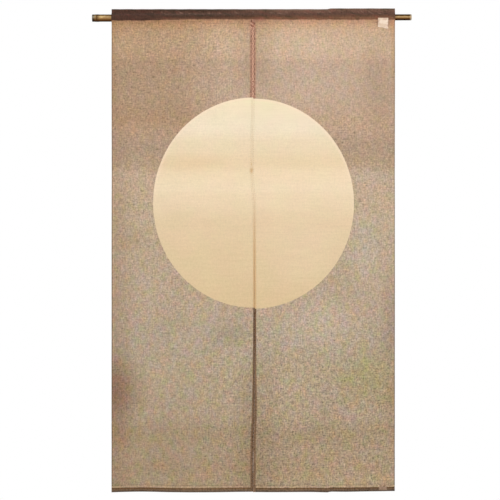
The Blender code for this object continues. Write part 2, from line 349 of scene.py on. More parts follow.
# Spots of paint: above the label of the foot hem, at the seam's knots, on the disc and the pocket
LABEL_SHADOWS = (
    # x, z, reach across, reach down, share, colour
    (0.3960, -1.4552, 0.0055, 0.0060, 0.60, (110, 84, 56)),
    (0.4062, -1.4548, 0.0065, 0.0060, 0.75, (110, 84, 56)),
    (0.4128, -1.4500, 0.0035, 0.0050, 0.45, (110, 84, 56)),
)
SEAM_KNOTS = (
    # x, z, reach across, reach down, share, colour
    (-0.0010, -0.0225, 0.0100, 0.0190, 0.70, (176, 122, 100)),
    (0.0200, -0.0085, 0.0260, 0.0060, 0.55, (176, 118, 98)),
    (-0.0010, -0.2160, 0.0085, 0.0160, 0.75, (170, 120, 102)),
)
MOON_SPOTS = (
    # x, z, reach across, reach down, share, colour
    (-0.0058, -0.4740, 0.0085, 0.0150, 0.90, (222, 186, 138)),
    (-0.0056, -0.4520, 0.0036, 0.0170, 0.70, (218, 184, 134)),
)
POCKET_SPOTS = (
    # x, z, reach across, reach down, share, colour
    (0.0180, -0.0040, 0.0300, 0.0060, 0.70, (136, 84, 68)),
)

# The camera faces the curtain squarely. Lights are squares that face its middle
VIEW_MIDDLE = (-0.01025, -0.7215)
VIEW_WIDTH = 1.553
CAMERA_AWAY = 4.0
SENSOR = 36.0
FLOOR_LEVEL = -1.80
FLOOR_CORNERS = ((-2.2, -2.2), (2.2, -2.2), (2.2, 1.2), (-2.2, 1.2))
KEY_LIGHT = {"place": (1.6, -3.2, 0.9), "size": 2.4, "power": 62.0}
FILL_LIGHT = {"place": (-2.2, -3.0, -0.4), "size": 2.4, "power": 22.0}


# Shared curves


def smooth(t):
    """A soft step from 0 at t = 0 to 1 at t = 1."""
    t = np.clip(t, 0.0, 1.0)
    return t * t * (3.0 - 2.0 * t)


def slit_drift(drop):
    """How far to the right the slit line lies at a drop, softly joined between its rows."""
    drops, drifts = np.array(SLIT_LINE).T
    drop = np.clip(drop, drops[0], drops[-1])
    low = np.clip(np.searchsorted(drops, drop, side="left") - 1, 0, len(drops) - 2)
    share = smooth((drop - drops[low]) / (drops[low + 1] - drops[low]))
    return drifts[low] + (drifts[low + 1] - drifts[low]) * share


def end_rise(x):
    """How much higher than at the left the cloth's two ends are."""
    return END_RISE * smooth((x - END_RISE_FROM) / (END_RISE_TO - END_RISE_FROM))


def taken_up(x, drop):
    """A drop at the left of the cloth, as it is at X once the foot's rise is shared out above it."""
    return drop * (1.0 - end_rise(x) / FOOT_DROP)


def axis_height(x):
    """The height of the cane's axis, which leans up to the right."""
    return ROD_LEAN * x


def taper_radius(x):
    """The cane's radius between its nodes."""
    along = (x - ROD_LEFT_END) / (ROD_RIGHT_END - ROD_LEFT_END)
    return ROD_LEFT_RADIUS + (ROD_RIGHT_RADIUS - ROD_LEFT_RADIUS) * along


def crease_depth(drop):
    """How far the storage creases lead the cloth back, at a drop."""
    total = 0.0
    for place, depth, reach in CREASES:
        away = np.hypot(drop - place, CREASE_ROUND) - CREASE_ROUND
        total = total + depth * np.exp(-away / reach)
    return total


def flute_depth(x, drop):
    """How far the flutes lead the cloth back, growing down from the rod."""
    growth = (drop / FOOT_DROP) ** FLUTE_GROWTH
    return growth * sum(height * wave(x, length, start) for length, height, start in FLUTES)


def wave(place, length, start=0.0):
    return np.sin(2.0 * np.pi * (place / length + start))


def fade(distance, reach):
    """1 at no distance, and fading to nothing beyond the reach."""
    return np.exp(-((distance / reach) ** 2))


# Fine relief


def slit_edge(drop, side):
    """X of a panel's slit edge at a drop."""
    return slit_drift(drop) + side * SLIT_GAP / 2


def ripples(x, drop):
    """Long low swells that any hung cloth keeps."""
    swells = [
        height * np.sin(2.0 * np.pi * (x / across + drop / down + start))
        for across, down, height, start in RIPPLES
    ]
    return sum(swells)


def gathers(away, along, pucker, share=1.0):
    """Small waves along a row of sewing, which fade out away from it."""
    height = pucker["height"] * share * fade(away, pucker["reach"])
    return height * wave(along, pucker["length"])


def swelling(place, pucker):
    """How strong a row's gathers are at a place, which changes slowly along it."""
    return 0.6 + 0.4 * wave(place, pucker["swell"], pucker["start"])


def puckers(x, drop, side):
    """Small gathers where sewing draws the cloth in."""
    from_slit = side * (x - slit_edge(drop, side))
    drawn = 0.35 + 0.65 * smooth((SEAM_END + SEAM_RELEASE - drop) / SEAM_RELEASE)
    head = gathers(drop - HEAD_ROW, x + 0.3 * drop, HEAD_PUCKER) * swelling(x, HEAD_PUCKER)
    seam = gathers(from_slit, drop, SEAM_PUCKER, drawn) * swelling(drop, SEAM_PUCKER)
    foot = gathers(drop - FOOT_DROP + FOOT_HEM, x + 0.8 * drop, FOOT_PUCKER)
    rim = gathers(PANEL_WIDTH - abs(x), drop, SIDE_PUCKER) * swelling(drop, SIDE_PUCKER)
    return head + seam + foot + rim


def back_of_sheet(x, drop, side):
    """Y of the back of the single sheet, which leaves the pocket plumb."""
    eased = smooth((drop - WAVE_FROM) / (WAVE_FULL - WAVE_FROM))
    parting = smooth((drop - SEAM_END) / (SLIT_PART_FULL - SEAM_END))
    near_slit = np.exp(-((x / SLIT_PART_REACH) ** 2))
    big = eased * (crease_depth(drop) + flute_depth(x, drop) + ripples(x, drop))
    sewn = smooth((drop - WAVE_FROM) / PUCKER_FULL) * puckers(x, drop, side)
    return big + sewn - side * SLIT_PART * parting * near_slit


def hem_share(across, drop):
    """How much of a hem's full thickness the cloth has at a place, from 0 to 1."""
    slit_inside = PANEL_WIDTH - SLIT_HEM - across
    outer_inside = across - OUTER_HEM
    foot_inside = FOOT_DROP - FOOT_HEM - drop
    least = np.minimum(np.minimum(slit_inside, outer_inside), foot_inside)
    return smooth(1.0 - least / HEM_SLOPE)


def edge_share(across, drop):
    """The share of its thickness that the cloth has near a free edge, which is a round fold."""
    away = np.minimum(np.minimum(across, PANEL_WIDTH - across), FOOT_DROP - drop)
    inside = np.clip(away / EDGE_ROUND, 0.0, 1.0)
    return 0.25 + 0.75 * np.sqrt(1.0 - (1.0 - inside) ** 2)


def column_x(across, drop, side):
    """X at a distance across a panel from its outer edge. The slit's drift is shared out evenly."""
    outer = side * PANEL_WIDTH
    return outer + (slit_edge(drop, side) - outer) * across / PANEL_WIDTH


def sheet_depths(across, drop, side, flap_end):
    """X, and Y of the front and of the back of the single sheet."""
    x = column_x(across, drop, side)
    y = back_of_sheet(x, drop, side)
    hem = hem_share(across, drop)
    doubled = smooth((flap_end + HEM_SLOPE - drop) / HEM_SLOPE)
    before = SHEET + HEM_BEFORE * hem * (1.0 - doubled)
    behind = np.maximum(HEM_BEHIND * hem * (1.0 - doubled), SHEET * doubled)
    middle = y + (behind - before) / 2
    half = (before + behind) / 2 * edge_share(across, drop)
    return x, middle - half, middle + half


# Steps of the fine mesh


def even_steps(first, last, step):
    count = max(1, round((last - first) / step))
    return np.linspace(first, last, count + 1)


def joined(*stretches):
    """All steps of some stretches in order, none of them twice."""
    return np.array(sorted({round(float(step), 6) for stretch in stretches for step in stretch}))


def panel_columns():
    """Distances across a panel from its outer edge to its slit edge, fine over both hems."""
    outer = [*EDGE_STEPS, 0.0023, *np.linspace(OUTER_HEM, OUTER_HEM + HEM_SLOPE, SLOPE_STEPS + 1)]
    inner_hem = np.linspace(SLIT_HEM, SLIT_HEM + HEM_SLOPE, SLOPE_STEPS + 1)
    inner = PANEL_WIDTH - np.array([*EDGE_STEPS, 0.0025, 0.0040, *inner_hem])
    field = even_steps(OUTER_HEM + HEM_SLOPE, PANEL_WIDTH - SLIT_HEM - HEM_SLOPE, FIELD_STEP)
    return joined(outer, field, inner)


def panel_drops():
    """Drops from the head of the single sheet to its foot, fine over the hem and the rim."""
    hem_top = FOOT_DROP - FOOT_HEM
    field = even_steps(FIELD_TOP, hem_top - HEM_SLOPE, FIELD_STEP)
    slope = np.linspace(hem_top - HEM_SLOPE, hem_top, SLOPE_STEPS + 1)
    hem = even_steps(hem_top, FOOT_DROP - EDGE_STEPS[-1], 0.0025)
    return joined(field, slope, hem, FOOT_DROP - np.array(EDGE_STEPS))


# The rod pocket


def pocket_size(x):
    """The pocket's inside radius round the cane, and how far from the axis its walls meet."""
    radius = taper_radius(x) + POCKET_CLEARANCE
    return radius, radius + POCKET_CLOSE


def pocket_wall(radius, close):
    """Reach and height up one wall of the pocket round the cane, for each column."""
    lean = np.arccos(radius / close)
    share = np.linspace(0.0, 1.0, WALL_STEPS + 1)
    angle = np.pi - lean - (np.pi - 2.0 * lean) * share
    return radius * np.sin(angle), radius * np.cos(angle)


def pocket_ridges(x, height):
    """Slanting wrinkles where the pocket is drawn round the cane, as heights outward."""
    slant = x + POCKET_RIDGE["lean"] * height
    strength = 0.5 + 0.5 * wave(x, 0.137, 0.3) * wave(x, 0.311, 0.1)
    ridge = np.clip(wave(slant, POCKET_RIDGE["length"]), 0.0, 1.0) ** 3
    ridge = ridge + 0.6 * np.clip(wave(slant, POCKET_RIDGE["length"] * 0.61, 0.4), 0.0, 1.0) ** 3
    return POCKET_RIDGE["height"] * strength * ridge


def header_sway(x, share):
    """How far the header above the pocket leans to and fro, more towards its ridge."""
    swing = wave(x, HEADER_SWAY["length"]) + 0.7 * wave(x, HEADER_SWAY["length"] * 2.3, 0.4)
    return HEADER_SWAY["height"] * swing * share


def line(x, y, z):
    """Points (column, place, 3) from arrays that stretch to the same shape."""
    return np.stack(np.broadcast_arrays(x, y, z), axis=-1)


def sheet_lines(across, side, flap_end, stitches):
    """The front and back lines of every column, from the foot up to the pocket's stitches."""
    below = panel_drops()[::-1] + np.zeros_like(across)
    marks = [np.full_like(across, FIELD_TOP), flap_end + HEM_SLOPE, flap_end, stitches]
    share = np.linspace(0.0, 1.0, SLOPE_STEPS + 1)[1:]
    above = [start + (end - start) * share for start, end in zip(marks, marks[1:])]
    drop = np.concatenate([below, *above], axis=1)
    x, front, back = sheet_depths(across, drop, side, flap_end)
    z = np.where(drop >= FIELD_TOP, -taken_up(x, drop), -drop)
    return line(x, front, z), line(x, back, z)


def header_lines(x, middle, close):
    """The front and back lines of the header, and the round ridge between them."""
    foot = middle + close + SHEET
    top = HEADER_TOP + end_rise(x) - SHEET
    share = np.linspace(0.0, 1.0, HEADER_STEPS + 1)
    height = foot + (top - foot) * share
    lean = header_sway(x, share**1.5)
    angle = np.linspace(np.pi, 0.0, RIDGE_STEPS + 1)[1:-1]
    ridge = line(x, header_sway(x, 1.0) + SHEET * np.cos(angle), top + SHEET * np.sin(angle))
    return line(x, lean - SHEET, height), line(x, lean + SHEET, height), ridge


def panel_lines(side):
    """The lines of points that a panel's outside and its pocket's inside are made of."""
    columns = panel_columns()[:, None]
    x = column_x(columns, 0.0, side)
    radius, close = pocket_size(x)
    middle = axis_height(x)
    lines = {}
    ends = close + SHEET + FLAP - middle, close + SHEET - middle
    lines["front"], lines["back"] = sheet_lines(columns, side, *ends)
    for name, extra in (("wall", SHEET), ("lining", 0.0)):
        reach, height = pocket_wall(radius + extra, close + extra)
        window = np.sin(np.linspace(0.0, np.pi, WALL_STEPS + 1))
        lift = window * pocket_ridges(x, height)
        lines["front " + name] = line(x, -reach - lift, middle + height)
        lines["back " + name] = line(x, reach + 0.6 * lift, middle + height)
    header = header_lines(x, middle, close)
    lines["front header"], lines["back header"], lines["ridge"] = header
    lines["pocket foot"] = line(x, 0.0, middle - close)
    lines["pocket head"] = line(x, 0.0, middle + close)
    return lines


# Meshes


def number_lines(lines):
    """The number of each point of each line, and all points in that order."""
    numbers, points, start = {}, [], 0
    for name, grid in lines.items():
        count = grid.shape[0] * grid.shape[1]
        numbers[name] = start + np.arange(count).reshape(grid.shape[:2])
        points.append(grid.reshape(-1, 3))
        start += count
    return numbers, np.concatenate(points)


def ring_faces(rings):
    """Quads between rings of point numbers, each row of which closes on itself."""
    near, far = rings[:-1], rings[1:]
    quads = [near, far, np.roll(far, -1, axis=1), np.roll(near, -1, axis=1)]
    return np.stack(quads, axis=-1).reshape(-1, 4).tolist()


def ladder_faces(first, second):
    """Quads between two lines of point numbers."""
    return np.stack([first[:-1], first[1:], second[1:], second[:-1]], axis=-1).tolist()


def side_faces(numbers, column):
    """Closes a panel's side: the sheet, the two walls of the pocket, and the header above it."""
    at = {name: grid[column] for name, grid in numbers.items()}
    foot, head = at["pocket foot"], at["pocket head"]
    faces = ladder_faces(at["front"], at["back"])
    faces.append([at["front"][-1], foot[0], at["back"][-1]])
    for face in ("front", "back"):
        outside = np.concatenate([at[face][-1:], at[face + " wall"], at[face + " header"][:1]])
        inside = np.concatenate([foot, at[face + " lining"], head])
        faces += ladder_faces(outside, inside)
    faces.append([at["front header"][0], head[0], at["back header"][0]])
    faces += ladder_faces(at["front header"], at["back header"])
    faces.append([at["front header"][-1], *at["ridge"], at["back header"][-1]])
    return faces


def tube_mesh(rings):
    """Points and faces of a tube through rings of points, closed at both ends."""
    numbers = np.arange(rings.shape[0] * rings.shape[1]).reshape(rings.shape[:2])
    faces = ring_faces(numbers) + [numbers[0].tolist(), numbers[-1].tolist()]
    return rings.reshape(-1, 3), faces


def add_object(name, data):
    """A new object in the scene."""
    made = bpy.data.objects.new(name, data)
    bpy.context.scene.collection.objects.link(made)
    return made


def make_piece(name, points, faces, material, sharp_angle=60.0):
    """One smooth-shaded piece that rides on the root body."""
    data = bpy.data.meshes.new(name)
    data.from_pydata(np.asarray(points).tolist(), [], faces)
    mesh = bmesh.new()
    mesh.from_mesh(data)
    bmesh.ops.recalc_face_normals(mesh, faces=mesh.faces)
    mesh.to_mesh(data)
    mesh.free()
    data.materials.append(material)
    data.shade_smooth()
    data.set_sharp_from_angle(angle=math.radians(sharp_angle))
    piece = add_object(name, data)
    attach(piece, "root")
    return piece


def make_panel(name, side, material):
    """One fine panel of cloth. Side is -1 for the left panel and 1 for the right one."""
    numbers, points = number_lines(panel_lines(side))
    up = [numbers["front"], numbers["front wall"], numbers["front header"], numbers["ridge"]]
    down = [numbers["back"], numbers["back wall"], numbers["back header"]]
    outside = np.concatenate([*up, np.concatenate(down, axis=1)[:, ::-1]], axis=1)
    lining = [numbers["pocket foot"], numbers["front lining"], numbers["pocket head"]]
    inside = np.concatenate([*lining, numbers["back lining"][:, ::-1]], axis=1)
    faces = ring_faces(outside) + ring_faces(inside)
    faces += side_faces(numbers, 0) + side_faces(numbers, -1)
    return make_piece(name, points, faces, material)


# The cane


def cane_stations():
    """Places along the cane, with fine steps over each node."""
    places = list(even_steps(ROD_LEFT_END + ROD_CHAMFER, ROD_RIGHT_END - ROD_CHAMFER, CANE_STEP))
    for node in NODE_PLACES:
        places += list(np.arange(node - 0.007, node + 0.007, CANE_FINE_STEP))
    places = np.unique(np.round(places, 5))
    apart = np.concatenate([[True], np.diff(places) > CANE_FINE_STEP * 0.6])
    return places[apart]


def cane_radius(x, angle):
    """The cane's radius: taper, slight lobes, and at each node a scar ring below a low swelling."""
    lobes = 1.0 + 0.006 * np.sin(2.0 * angle + 9.0 * x) + 0.003 * np.sin(5.0 * angle)
    radius = taper_radius(x) * lobes
    for node in NODE_PLACES:
        for aside, rise, reach in ((0.0, NODE_RISE, NODE_REACH), *NODE_RINGS):
            radius = radius + rise * fade(x - node + aside, reach)
    return radius


def cane_ring(x, radius, angle):
    """Points round the cane's axis."""
    middle = axis_height(x)
    return line(x, radius * np.sin(angle), middle - radius * np.cos(angle))


def bore_rings(end, inward, depth, angle):
    """Rings from an end's outer rim over its sawn face, down its bore, to the middle of its floor."""
    wall = CANE_WALL * (1.0 + 0.10 * np.sin(3.0 * angle + 1.0))
    rim = cane_radius(end, angle)
    bore = rim - wall
    steps = [
        # how far in, radius
        (0.0, rim - ROD_CHAMFER),
        (0.0, bore + 0.0002),
        (0.0003, bore),
        (depth - 0.0020, bore),
        (depth - 0.0006, bore - 0.0010),
        (depth, bore * 0.62),
        (depth + 0.0002, bore * 0.08),
    ]
    return [cane_ring(end + inward * along, radius, angle) for along, radius in steps]


def make_cane(material):
    """The bamboo cane from end to end, with a bore in each sawn end."""
    angle = 2.0 * np.pi * np.arange(CANE_SIDES) / CANE_SIDES
    skin = [cane_ring(x, cane_radius(x, angle), angle) for x in cane_stations()]
    left = bore_rings(ROD_LEFT_END, 1.0, CANE_BORE["left"], angle)
    right = bore_rings(ROD_RIGHT_END, -1.0, CANE_BORE["right"], angle)
    points, faces = tube_mesh(np.array([*left[::-1], *skin, *right]))
    return make_piece("cane", points, faces, material, 40.0)


# Threads and stitches


def face_depth(x, drop, side, face):
    """Y of a panel's front or back at places below the pocket."""
    width = side * (side * PANEL_WIDTH - slit_edge(drop, side))
    across = PANEL_WIDTH * (PANEL_WIDTH - side * x) / width
    flap_end = pocket_size(x)[1] + SHEET + FLAP - axis_height(x)
    _, front, back = sheet_depths(across, drop, side, flap_end)
    return front if face == "front" else back


def thread_tube(path, radius, sides=6):
    """Points and faces of a round thread along a path, closed at its ends."""
    path = np.asarray(path)
    ahead = np.gradient(path, axis=0)
    ahead /= np.linalg.norm(ahead, axis=1)[:, None]
    out = np.cross(ahead, [0.0, 1.0, 0.0])
    out /= np.linalg.norm(out, axis=1)[:, None]
    over = np.cross(out, ahead)
    angle = 2.0 * np.pi * np.arange(sides) / sides
    ends = np.ones(len(path))
    ends[[0, -1]] = 0.55
    circle = np.cos(angle)[None, :, None] * out[:, None] + np.sin(angle)[None, :, None] * over[:, None]
    return tube_mesh(path[:, None] + radius * ends[:, None, None] * circle)


def make_threads(name, paths, radius, material):
    """One piece of several threads."""
    points, faces, start = [], [], 0
    for path in paths:
        tube, quads = thread_tube(path, radius)
        points.append(tube)
        faces += [[number + start for number in quad] for quad in quads]
        start += len(tube)
    return make_piece(name, np.concatenate(points), faces, material)


def stitch_path(start, end, side, face):
    """A stitch between two places (x, drop) on a panel: it dips into the cloth at both ends."""
    share = np.linspace(0.0, 1.0, 5)
    x = start[0] + (end[0] - start[0]) * share
    drop = start[1] + (end[1] - start[1]) * share
    lift = np.array([-STITCH_SINK, STITCH_LIFT * 0.7, STITCH_LIFT, STITCH_LIFT * 0.7, -STITCH_SINK])
    return line(x, face_depth(x, drop, side, face) + OUTWARD[face] * lift, -taken_up(x, drop))


def running_stitches(place, first, last, row, side):
    """Running stitches from first to last. They show on the front, and between those on the back."""
    paths = []
    pitch = ROW_PITCH[row]
    count = int((last - first) / pitch)
    for number in range(count):
        start = first + (last - first) * number / count
        for face, near, far in ROW_STITCHES:
            ends = place(start + pitch * near), place(start + pitch * far)
            paths.append(stitch_path(*ends, side, face))
    return paths


def stitch_rows(side):
    """The rows that close the pocket and that hold the foot hem, the slit hem and the outer hem."""
    outer = side * (PANEL_WIDTH - 0.003)
    lowest = FOOT_DROP - FOOT_HEM - 0.002

    def on_pocket(x):
        return x, float(pocket_size(x)[1] + SHEET + 0.0030 - axis_height(x))

    def on_foot(x):
        return x, FOOT_DROP - FOOT_ROW + 0.0004 * math.sin(x * 61.0)

    def on_slit(drop):
        return float(slit_edge(drop, side)) + side * (SLIT_HEM - 0.0010), drop

    def on_rim(drop):
        return side * (PANEL_WIDTH - OUTER_HEM + 0.0008), drop

    return [
        *running_stitches(on_pocket, *sorted((side * ROW_START["pocket"], outer)), "pocket", side),
        *running_stitches(on_foot, *sorted((side * ROW_START["foot"], outer)), "foot", side),
        *running_stitches(on_slit, ROW_START["slit"], lowest, "slit", side),
        *running_stitches(on_rim, ROW_START["rim"], lowest, "rim", side),
    ]


def seam_depth(x, drop, face):
    """Y of the front or back at places near the seam, whichever panel they are on."""
    left, right = (face_depth(x, drop, side, face) for side in (-1, 1))
    return np.where(x < slit_drift(drop), left, right)


def lacing_path(face, first, last, radius):
    """The zigzag thread that joins the two slit hems, from its first turn to its last."""
    turns = np.linspace(first, last, (last - first) * LACING_STEPS + 1)
    drop = LACING_FROM + LACING_PITCH * turns
    sway = np.arcsin(LACING_SHARP * np.sin(2.0 * np.pi * turns)) / np.arcsin(LACING_SHARP)
    reach = LACING_REACH * (1.0 + 0.16 * wave(drop, 0.093) + 0.10 * wave(drop, 0.041, 0.3))
    x = slit_drift(drop) + reach * sway
    lift = radius * (0.55 - 0.9 * smooth((np.abs(sway) - 0.86) / 0.14))
    return line(x, seam_depth(x, drop, face) + OUTWARD[face] * lift, -taken_up(x, drop))


def tack_path(knot, face):
    """One short thick stitch that slants across the seam."""
    drop, aside, fall, reach = knot
    share = np.linspace(-1.0, 1.0, 9)
    x = slit_drift(drop) + aside + reach * share
    drops = drop + fall * share
    lift = 0.0006 - 0.0010 * np.abs(share) ** 4
    return line(x, seam_depth(x, drops, face) + OUTWARD[face] * lift, -taken_up(x, drops))


# Labels


def taut(heights, depths):
    """Depths pulled forward to the straight lines between those that stand out."""
    held = []
    for place, depth in zip(heights, depths):
        while len(held) > 1:
            share = (held[-1][0] - held[-2][0]) / (place - held[-2][0])
            if held[-1][1] < held[-2][1] + (depth - held[-2][1]) * share:
                break
            held.pop()
        held.append((place, depth))
    places, kept = zip(*held)
    return np.interp(heights, places, kept)


def right_front(x, height):
    """Y of the right panel's front at heights from the foot to the top of the pocket's wall."""
    radius, close = pocket_size(x)
    middle = float(axis_height(x))
    wall_radius = radius + SHEET
    reach = np.sqrt(np.clip(wall_radius**2 - (height - middle) ** 2, 0.0, None))
    wall = -reach - pocket_ridges(x, height - middle)
    stitches = close + SHEET - middle
    sheet = face_depth(np.full_like(height, x), np.maximum(-height, stitches), 1, "front")
    return np.where(height > -stitches, np.minimum(wall, sheet), sheet)


def label_grid(label):
    """X of each column of a label's fine grid, and the heights of its places from foot to top."""
    across = np.linspace(-0.5, 0.5, LABEL_STEPS + 1)
    x = label["middle"] + label["width"] * across
    tall = label["height"] + label["slant"] * across
    height = label["top"] - tall[:, None] * np.linspace(1.0, 0.0, LABEL_STEPS + 1)[None, :]
    return x, height


def label_back(label):
    """Y of a label's back over its grid: it touches what stands out and spans the hollows."""
    x, height = label_grid(label)
    return np.array([taut(row, right_front(place, row) - LABEL_CLEAR) for place, row in zip(x, height)])


def make_label(name, label, material):
    """A small woven label with a soft rim. It lies on the cloth and lifts a little between stitches."""
    x, height = label_grid(label)
    back = label_back(label)
    across = np.linspace(-1.0, 1.0, len(x))[:, None]
    up = np.linspace(-1.0, 1.0, height.shape[1])[None, :]
    rim = np.clip((1.0 - np.maximum(abs(across), abs(up))) / LABEL_RIM, 0.0, 1.0)
    thick = LABEL_THICK * (0.35 + 0.45 * np.sqrt(1.0 - (1.0 - rim) ** 2))
    back = back - LABEL_LIFT * (1.0 - across**2) * (1.0 + wave(up, 1.1, 0.2)) * (1.0 - up**4)
    drawn = 1.0 - 0.010 * (1.0 - abs(up) ** 3) * abs(across)
    wide = label["middle"] + (x[:, None] - label["middle"]) * drawn
    lines = {"near": line(wide, back - thick, height), "far": line(wide, back, height)}
    numbers, points = number_lines(lines)
    near, far = numbers["near"], numbers["far"]
    faces = ring_faces(np.concatenate([near, far[:, ::-1]], axis=1))
    faces += ladder_faces(near[0], far[0]) + ladder_faces(near[-1], far[-1])
    return make_piece(name, points, faces, material)


def label_stitches(label):
    """Small stitches along a label's two upright edges."""
    x, height = label_grid(label)
    back = label_back(label)
    paths = []
    for column, out in ((1, -1.0), (-2, 1.0)):
        depth, row = back[column], height[column]
        for place in np.arange(row[0] + 0.0012, row[-1] - 0.0010, LABEL_PITCH):
            share = np.linspace(-1.0, 1.0, 5)
            across = x[column] + out * 0.0009 * share
            level = np.full(5, place) + 0.0003 * share
            lift = LABEL_THICK * (0.85 - 0.65 * np.abs(share) ** 3)
            paths.append(line(across, np.interp(place, row, depth) - lift, level))
    return paths


# Node graphs


def linear(channel):
    """An sRGB channel from 0 to 255 as a linear value."""
    value = channel / 255.0
    return value / 12.92 if value <= 0.04045 else ((value + 0.055) / 1.055) ** 2.4


def paint(*channels):
    """A colour as the lights should show it on a plain front face."""
    return (*(linear(channel) / LIGHT_GAIN for channel in channels), 1.0)


class Value:
    """A grey value or colour that a node puts out. Arithmetic with it adds nodes to its graph."""

    def __init__(self, graph, socket):
        self.graph = graph
        self.socket = socket

    def __add__(self, other):
        return self.graph.math("ADD", self, other)

    def __sub__(self, other):
        return self.graph.math("SUBTRACT", self, other)

    def __mul__(self, other):
        return self.graph.math("MULTIPLY", self, other)

    def __truediv__(self, other):
        return self.graph.math("DIVIDE", self, other)

    def __abs__(self):
        return self.graph.math("ABSOLUTE", self)

    __radd__ = __add__
    __rmul__ = __mul__

    def wave(self, length):
        """A sine wave along this value."""
        return self.graph.math("SINE", self * (2.0 * math.pi / length))

    def step(self, low, high, start=0.0, end=1.0):
        """A soft step from start, where this value is low, to end, where it is high."""
        values = {"Value": self, "From Min": low, "From Max": high, "To Min": start, "To Max": end}
        return self.graph.value("ShaderNodeMapRange", values, interpolation_type="SMOOTHSTEP")

    def near(self, middle, reach):
        """1 where this value is at the middle, and 0 beyond the reach."""
        return abs(self - middle).step(reach, 0.0)

    def ramp(self, stops):
        """Colours or grey values softly joined between their places, which are shares from 0 to 1."""
        node = self.graph.add("ShaderNodeValToRGB", {0: self})
        elements = node.color_ramp.elements
        node.color_ramp.interpolation = "EASE"
        while len(elements) < len(stops):
            elements.new(1.0)
        for element, (place, tone) in zip(elements, stops):
            element.position = place
            colour = tone if isinstance(tone, tuple) else (tone, tone, tone)
            element.color = (*colour[:3], 1.0)
        return Value(self.graph, node.outputs[0])

    def mixed(self, share, other):
        """This colour with a share of another over it."""
        return self.graph.mix(share, self, other)

    def tinted(self, share, tint):
        """This colour with a share of it multiplied by a tint."""
        if isinstance(tint, tuple):
            tint = (*tint, 1.0)
        return self.graph.mix(share, self, tint, "MULTIPLY")


class Graph:
    """A material's nodes. Its x and z are those of a place on the object, in metres."""

    def __init__(self, name):
        self.material = bpy.data.materials.new(name)
        self.material.use_nodes = True
        self.tree = self.material.node_tree
        self.tree.nodes.clear()
        self.place = self.value("ShaderNodeTexCoord", {}, "Object")
        self.x, self.z = (self.value("ShaderNodeSeparateXYZ", {0: self.place}, axis) for axis in "XZ")

    def add(self, kind, values, **settings):
        """A new node, with its settings and with what goes into its sockets."""
        node = self.tree.nodes.new(kind)
        for key, value in settings.items():
            setattr(node, key, value)
        for key, value in values.items():
            if isinstance(value, Value):
                self.tree.links.new(value.socket, node.inputs[key])
            else:
                node.inputs[key].default_value = value
        return node

    def value(self, kind, values, output=0, **settings):
        """What a new node puts out."""
        return Value(self, self.add(kind, values, **settings).outputs[output])

    def math(self, operation, *values):
        return self.value("ShaderNodeMath", dict(enumerate(values)), operation=operation)

    def noise(self, *lengths, detail=2.0, roughness=0.5, turned=0.0):
        """Noise with features of one length, or of one along each axis. It may be turned about Y."""
        place = self.place
        if turned:
            turn = {"Vector": place, "Angle": turned}
            place = self.value("ShaderNodeVectorRotate", turn, rotation_type="Y_AXIS")
        if len(lengths) == 1:
            lengths = lengths * 3
        scale = {0: place, 1: [1.0 / length for length in lengths]}
        place = self.value("ShaderNodeVectorMath", scale, operation="MULTIPLY")
        values = {"Vector": place, "Scale": 1.0, "Detail": detail, "Roughness": roughness}
        return self.value("ShaderNodeTexNoise", values, "Fac")

    def mix(self, share, first, second, blend_type="MIX"):
        values = {0: share, 6: first, 7: second}
        return self.value("ShaderNodeMix", values, 2, data_type="RGBA", blend_type=blend_type)

    def bump(self, height, distance, strength):
        values = {"Height": height, "Distance": distance, "Strength": strength}
        return self.value("ShaderNodeBump", values)

    def surface(self, colour, rough, normal, specular=0.5, sheen=0.0):
        """The shader of a surface that lets no light through."""
        looks = {"Base Color": colour, "Roughness": rough, "Normal": normal}
        looks.update({"Specular IOR Level": specular, "Sheen Weight": sheen})
        return self.value("ShaderNodeBsdfPrincipled", looks)

    def finish(self, shader):
        """The finished material."""
        self.add("ShaderNodeOutputMaterial", {"Surface": shader})
        return self.material


# Where a place lies


def drop_share(graph):
    """The drop of a place as a share of the cloth's height."""
    return graph.z / -CLOTH_HEIGHT


def evened_height(graph):
    """The height of a place, less the climb of the cloth's two ends at the right."""
    return graph.z + graph.x.step(END_RISE_FROM, END_RISE_TO, 0.0, -END_RISE)


def slit_offset(graph):
    """How far to the right of the slit line a place is. The line drifts a little on its way down."""
    stops = [(drop / CLOTH_HEIGHT, 0.5 + drift / DRIFT_SPAN) for drop, drift in SLIT_LINE]
    return graph.x - (drop_share(graph).ramp(stops) - 0.5) * DRIFT_SPAN


def share_out(graph, x, z, reach_x, reach_z):
    """How far out from an oval's middle a place is, as a share of its reach."""
    across = (graph.x - x) / reach_x
    up = (graph.z - z) / reach_z
    return graph.math("SQRT", across * across + up * up)


def oval(graph, *place):
    """A soft oval patch, 1 at its middle."""
    return share_out(graph, *place).step(1.0, 0.0)


def moon_distance(graph):
    """How far out from the disc's middle a place is. The disc sits lower on the right panel."""
    x, z = MOON_MIDDLE
    height = slit_offset(graph).step(-MOON_BLUR, MOON_BLUR, z, z - MOON_STEP)
    return share_out(graph, x, height, *MOON_RADII) + graph.noise(0.004) * 0.006 - 0.003


# Layers of colour


def tone_ramp(value, rows):
    """Painted colours by a value from 0 to 1."""
    return value.ramp([(place, paint(*colour)) for place, colour in rows])


def drop_ramp(graph, rows):
    """Painted colours by drop."""
    return tone_ramp(drop_share(graph), [(drop / CLOTH_HEIGHT, colour) for drop, colour in rows])


def with_patches(graph, colour, patches):
    """A colour with soft oval places that are tinted."""
    for *place, tint in patches:
        colour = colour.tinted(oval(graph, *place), tint)
    return colour


def with_spots(graph, colour, spots):
    """A colour with soft oval places that are painted over by a share."""
    for *place, share, tone in spots:
        colour = colour.mixed(oval(graph, *place) * share, paint(*tone))
    return colour


# Cloth material


